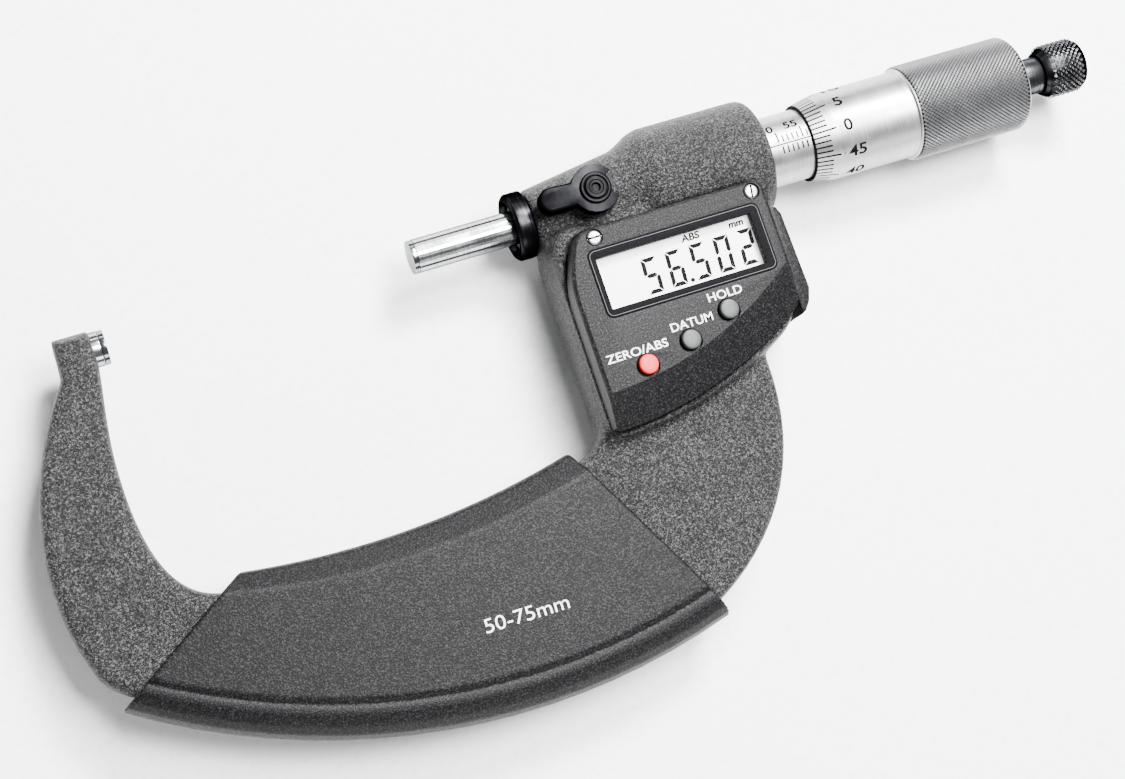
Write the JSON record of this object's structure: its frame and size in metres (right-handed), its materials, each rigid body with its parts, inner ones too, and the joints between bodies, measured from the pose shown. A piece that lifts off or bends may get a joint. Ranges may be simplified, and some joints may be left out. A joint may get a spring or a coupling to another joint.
{
  "type": "outside micrometer",
  "caption": "Digital outside micrometer for 50 to 75 mm: C-shaped frame with insulating covers, screw spindle, graduated thimble, ratchet, spindle lock and display module.",
  "frame": {"origin": "centre of the anvil's measuring face", "axes": "+X along the spindle from the anvil towards the ratchet, +Y away from the bow of the frame, +Z out of the display"},
  "size_m": [0.2182, 0.096, 0.0243],
  "materials": {
    "wrinkle_paint": "dark grey wrinkle enamel on a forged steel frame",
    "moulded_grey": "fine spark-textured dark grey moulding",
    "surround_black": "satin black moulding",
    "satin_chrome": "satin chrome plate",
    "ground_steel": "fine ground and lapped steel",
    "carbide": "lapped carbide",
    "black_steel": "black oxide on steel",
    "brass": "machined brass",
    "rubber": "black nitrile rubber",
    "clear_window": "clear acrylic",
    "lcd": "reflective liquid crystal panel",
    "circuit_board": "solder-masked board",
    "button_red": "satin red moulding",
    "button_grey": "satin grey moulding"
  },
  "bodies": {
    "frame": {"frame": "wrinkle_paint", "anvil": "ground_steel", "anvil_tip": "carbide", "heat_shield_front": "moulded_grey", "heat_shield_back": "moulded_grey", "spindle_collar": "black_steel", "spindle_wiper": "rubber", "lock_pad": "brass", "display_housing": "moulded_grey", "housing_gasket": "rubber", "display_surround": "surround_black", "display_window": "clear_window", "lcd_panel": "lcd", "housing_screw_left": "ground_steel", "housing_screw_right": "ground_steel", "button_membrane": "rubber", "circuit_board": "circuit_board", "coin_cell": "ground_steel", "battery_contact": "brass", "port_socket": "surround_black", "encoder_stator": "circuit_board", "inner_sleeve": "ground_steel", "graduated_sleeve": "satin_chrome", "adjusting_nut": "ground_steel"},
    "rotor": {"encoder_rotor": "brass", "rotor_key": "ground_steel"},
    "spindle": {"spindle": "ground_steel", "spindle_tip": "carbide", "thimble": "satin_chrome", "ratchet_body": "black_steel", "ratchet_disc": "ground_steel", "ratchet_spring": "ground_steel"},
    "ratchet": {"ratchet_knob": "black_steel", "ratchet_cap": "black_steel"},
    "lock": {"lock_lever": "black_steel", "lock_screw": "black_steel", "lock_stud": "black_steel"},
    "zero_button": {"zero_button": "button_red"},
    "datum_button": {"datum_button": "button_grey"},
    "hold_button": {"hold_button": "button_grey"},
    "battery_cover": {"battery_cover": "moulded_grey"},
    "port_cover": {"port_cover": "moulded_grey"}
  },
  "joints": [
    {"name": "thimble_turn", "type": "hinge", "parent": "frame", "child": "rotor", "pos_m": [0.11, 0, 0], "axis": [1, 0, 0], "range_deg": [-4690, 13330]},
    {"name": "spindle_travel", "type": "slide", "parent": "rotor", "child": "spindle", "axis": [1, 0, 0], "range_m": [-0.0065, 0.0185]},
    {"name": "ratchet_spin", "type": "hinge", "parent": "spindle", "child": "ratchet", "pos_m": [0.192, 0, 0], "axis": [1, 0, 0], "continuous": true},
    {"name": "lock_turn", "type": "hinge", "parent": "frame", "child": "lock", "pos_m": [0.0908, 0.0006, 0.0095], "axis": [0, 0, 1], "range_deg": [-40, 0]},
    {"name": "zero_press", "type": "slide", "parent": "frame", "child": "zero_button", "axis": [0, 0, -1], "range_m": [0, 0.0005], "stiffness_N_per_m": 600, "springref_m": -0.0005},
    {"name": "datum_press", "type": "slide", "parent": "frame", "child": "datum_button", "axis": [0, 0, -1], "range_m": [0, 0.0005], "stiffness_N_per_m": 600, "springref_m": -0.0005},
    {"name": "hold_press", "type": "slide", "parent": "frame", "child": "hold_button", "axis": [0, 0, -1], "range_m": [0, 0.0005], "stiffness_N_per_m": 600, "springref_m": -0.0005},
    {"name": "battery_cover_turn", "type": "hinge", "parent": "frame", "child": "battery_cover", "pos_m": [0.1, -0.024, -0.0085], "axis": [0, 0, -1], "range_deg": [0, 90]},
    {"name": "port_cover_pull", "type": "slide", "parent": "frame", "child": "port_cover", "axis": [1, 0, 0], "range_m": [0, 0.004]}
  ],
  "couplings": [
    {"joint": "thimble_turn", "follows": "spindle_travel", "rad_per_m": 12566}
  ]
}
